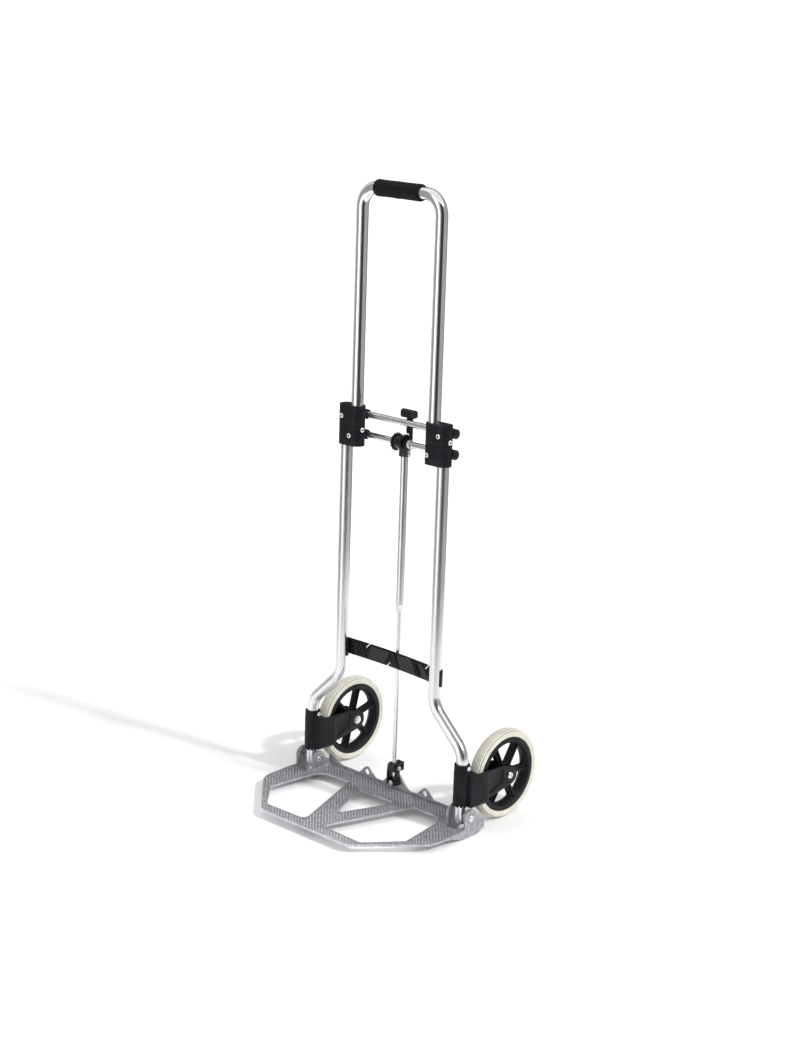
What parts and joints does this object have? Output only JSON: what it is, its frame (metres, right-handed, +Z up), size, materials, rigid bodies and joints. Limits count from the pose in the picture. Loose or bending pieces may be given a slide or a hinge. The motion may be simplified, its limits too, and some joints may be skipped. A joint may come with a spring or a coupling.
{
  "type": "folding hand truck",
  "caption": "Folding hand truck: leaned aluminium tube frame, telescoping U handle with foam grip, cast toe plate that folds up, and wheels on brackets that swing in with it.",
  "frame": {"origin": "on the floor, at the middle of the footprint between the toe plate's front edge and the backs of the tyres", "axes": "+X to the right seen from the front, +Y to the rear (wheels), +Z up; the toe plate reaches towards -Y"},
  "size_m": [0.4444, 0.4004, 1.1489],
  "materials": {
    "black_plastic": "fine moulded grain",
    "black_steel": "semi-gloss black",
    "satin_aluminium": "satin anodised",
    "polished_aluminium": "polished",
    "plated_steel": "zinc plated",
    "grip_foam": "closed-cell foam, matte",
    "cast_plate": "silver grey coat over a knurled casting",
    "grey_tyre": "grooved tread, matte",
    "pale_nylon": "natural nylon"
  },
  "bodies": {
    "frame": {"lower_tube_left": "satin_aluminium", "lower_tube_right": "satin_aluminium", "upper_block_left": "black_plastic", "upper_block_right": "black_plastic", "upper_crossbar": "plated_steel", "upper_bar_caps": "black_plastic", "upper_block_rivets": "plated_steel", "cross_strip": "black_plastic", "strip_rivets": "plated_steel"},
    "handle": {"handle_tube": "polished_aluminium", "foam_grip": "grip_foam", "lower_block_left": "black_plastic", "lower_block_right": "black_plastic", "lower_crossbar": "plated_steel", "lower_bar_caps": "black_plastic", "lower_block_rivets": "plated_steel", "rod_hub": "black_plastic", "hub_screws": "plated_steel", "link_tube": "satin_aluminium", "link_tube_ferrule": "pale_nylon", "latch_spring": "plated_steel"},
    "latch": {"latch_lever": "black_plastic", "latch_knob": "black_plastic"},
    "link_rod": {"link_rod": "satin_aluminium"},
    "toe_plate": {"toe_plate": "cast_plate", "rod_clevis": "black_steel", "clevis_bolt": "plated_steel", "clevis_screw": "plated_steel", "hinge_pin_left": "plated_steel", "hinge_pin_right": "plated_steel"},
    "bracket_left": {"wheel_bracket_left": "black_plastic", "bracket_screws_left": "plated_steel", "axle_left": "plated_steel", "axle_nut_left": "plated_steel", "axle_washers_left": "plated_steel"},
    "bracket_right": {"wheel_bracket_right": "black_plastic", "bracket_screws_right": "plated_steel", "axle_right": "plated_steel", "axle_nut_right": "plated_steel", "axle_washers_right": "plated_steel"},
    "wheel_left": {"rim_left": "black_plastic", "tyre_left": "grey_tyre", "wheel_bush_left": "pale_nylon"},
    "wheel_right": {"rim_right": "black_plastic", "tyre_right": "grey_tyre", "wheel_bush_right": "pale_nylon"}
  },
  "joints": [
    {"name": "toe_plate_fold", "type": "hinge", "parent": "frame", "child": "toe_plate", "pos_m": [0, 0.00683, 0.035], "axis": [-1, 0, 0], "range_deg": [0, 92.6]},
    {"name": "left_wheel_fold", "type": "hinge", "parent": "frame", "child": "bracket_left", "pos_m": [-0.193, 0.0091, 0.08495], "axis": [0, -0.0454, -0.999], "range_deg": [0, 90]},
    {"name": "right_wheel_fold", "type": "hinge", "parent": "frame", "child": "bracket_right", "pos_m": [0.193, 0.0091, 0.08495], "axis": [0, 0.0454, 0.999], "range_deg": [0, 90]},
    {"name": "link_rod_slide", "type": "slide", "parent": "frame", "child": "link_rod", "axis": [0, 0.0454, 0.999], "range_m": [-0.058, 0]},
    {"name": "handle_slide", "type": "slide", "parent": "frame", "child": "handle", "axis": [0, 0.0454, 0.999], "range_m": [-0.285, 0]},
    {"name": "latch_press", "type": "hinge", "parent": "handle", "child": "latch", "pos_m": [0, 0.0535, 0.68355], "axis": [-1, 0, 0], "range_deg": [0, 12], "stiffness_Nm_per_rad": 0.6, "springref_deg": -8.59},
    {"name": "left_wheel_spin", "type": "hinge", "parent": "bracket_left", "child": "wheel_left", "pos_m": [-0.197, 0.11617, 0.084], "axis": [1, 0, 0], "continuous": true},
    {"name": "right_wheel_spin", "type": "hinge", "parent": "bracket_right", "child": "wheel_right", "pos_m": [0.197, 0.11617, 0.084], "axis": [1, 0, 0], "continuous": true}
  ],
  "couplings": [
    {"joint": "left_wheel_fold", "follows": "toe_plate_fold", "ratio": 0.9719},
    {"joint": "right_wheel_fold", "follows": "toe_plate_fold", "ratio": 0.9719},
    {"joint": "link_rod_slide", "follows": "toe_plate_fold", "m_per_rad": -0.035109}
  ]
}
